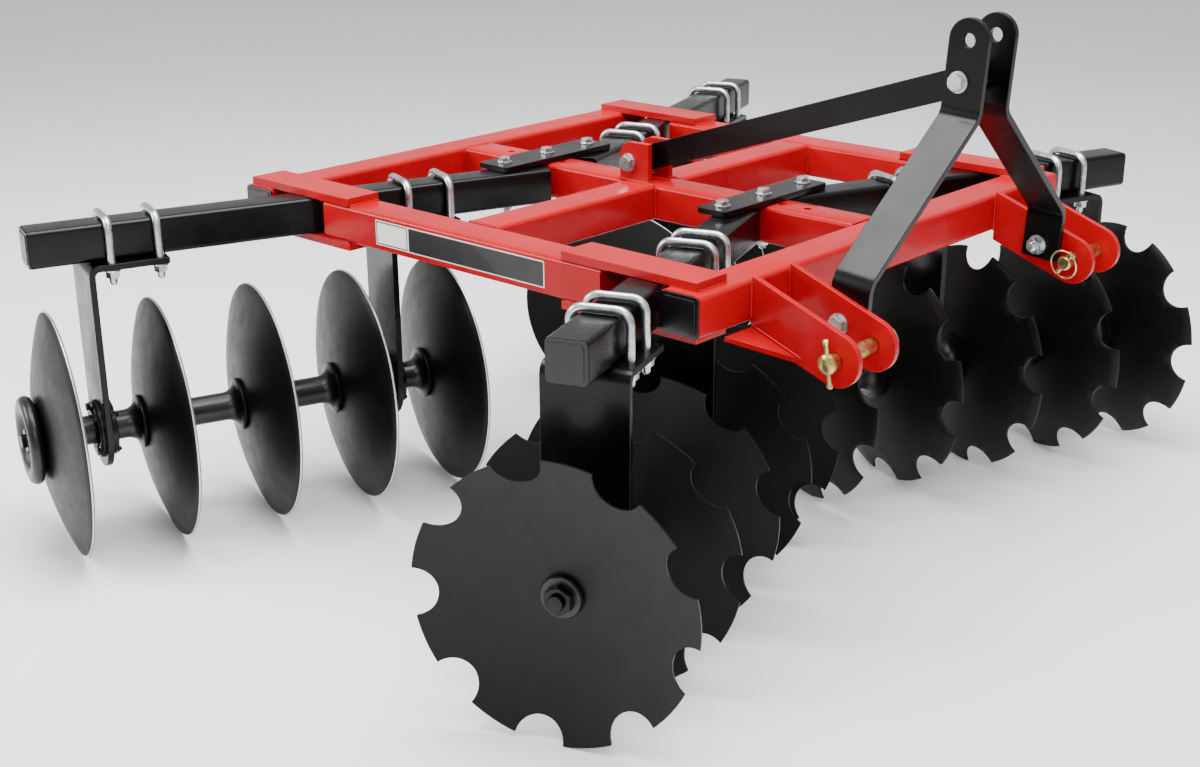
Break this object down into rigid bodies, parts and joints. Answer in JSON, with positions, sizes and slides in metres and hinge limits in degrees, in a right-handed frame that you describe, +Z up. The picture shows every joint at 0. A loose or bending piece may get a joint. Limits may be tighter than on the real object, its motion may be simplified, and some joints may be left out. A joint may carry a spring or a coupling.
{
  "type": "three-point tandem disc harrow",
  "caption": "Lift-type tandem disc harrow: a welded tube frame with a three-point hitch carries angled gangs of notched front and plain rear discs.",
  "frame": {"origin": "centre of the bounding box in plan, at ground level under the discs", "axes": "+X to the machine's left-hand side, +Y to the rear, +Z up; it is pulled toward -Y"},
  "size_m": [2.394, 1.7518, 1.109],
  "materials": {
    "red_paint": "gloss",
    "black_paint": "gloss",
    "disc_black": "semi-gloss",
    "cast_black": "semi-gloss cast surface",
    "yellow_zinc": "yellow zinc plate"
  },
  "bodies": {
    "frame": {"front_rail": "red_paint", "rear_rail": "red_paint", "side_rail_left": "red_paint", "side_rail_right": "red_paint", "centre_rail": "red_paint", "cross_rail_left": "red_paint", "cross_rail_right": "red_paint", "brace_lug_left": "red_paint", "brace_lug_right": "red_paint", "brace_bar": "black_paint", "mast_strap_left": "black_paint", "mast_strap_right": "black_paint", "clevis_inner_left": "red_paint", "clevis_inner_right": "red_paint", "clevis_outer_left": "red_paint", "clevis_outer_right": "red_paint", "hitch_pin_left": "yellow_zinc", "hitch_pin_right": "yellow_zinc", "front_beam_left": "black_paint", "front_beam_right": "black_paint", "rear_beam_left": "black_paint", "rear_beam_right": "black_paint", "front_splice": "black_paint", "rear_splice": "black_paint", "front_hanger_right_1": "black_paint", "front_hanger_right_2": "black_paint", "front_hanger_left_1": "black_paint", "front_hanger_left_2": "black_paint", "rear_hanger_right_1": "black_paint", "rear_hanger_right_2": "black_paint", "rear_hanger_left_1": "black_paint", "rear_hanger_left_2": "black_paint"},
    "front_gang_right": {"front_spool_right": "cast_black", "front_disc_right_1": "disc_black", "front_disc_right_2": "disc_black", "front_disc_right_3": "disc_black", "front_disc_right_4": "disc_black", "front_disc_right_5": "disc_black"},
    "front_gang_left": {"front_spool_left": "cast_black", "front_disc_left_1": "disc_black", "front_disc_left_2": "disc_black", "front_disc_left_3": "disc_black", "front_disc_left_4": "disc_black", "front_disc_left_5": "disc_black"},
    "rear_gang_right": {"rear_spool_right": "cast_black", "rear_disc_right_1": "disc_black", "rear_disc_right_2": "disc_black", "rear_disc_right_3": "disc_black", "rear_disc_right_4": "disc_black", "rear_disc_right_5": "disc_black"},
    "rear_gang_left": {"rear_spool_left": "cast_black", "rear_disc_left_1": "disc_black", "rear_disc_left_2": "disc_black", "rear_disc_left_3": "disc_black", "rear_disc_left_4": "disc_black", "rear_disc_left_5": "disc_black"}
  },
  "joints": [
    {"name": "front_gang_right_spin", "type": "hinge", "parent": "frame", "child": "front_gang_right", "pos_m": [-0.56611, -0.48491, 0.254], "axis": [-0.9367, -0.3502, 0], "continuous": true},
    {"name": "front_gang_left_spin", "type": "hinge", "parent": "frame", "child": "front_gang_left", "pos_m": [0.56611, -0.48491, 0.254], "axis": [0.9367, -0.3502, 0], "continuous": true},
    {"name": "rear_gang_right_spin", "type": "hinge", "parent": "frame", "child": "rear_gang_right", "pos_m": [-0.69291, 0.49488, 0.254], "axis": [-0.9421, 0.3355, 0], "continuous": true},
    {"name": "rear_gang_left_spin", "type": "hinge", "parent": "frame", "child": "rear_gang_left", "pos_m": [0.69291, 0.49488, 0.254], "axis": [0.9421, 0.3355, 0], "continuous": true}
  ]
}
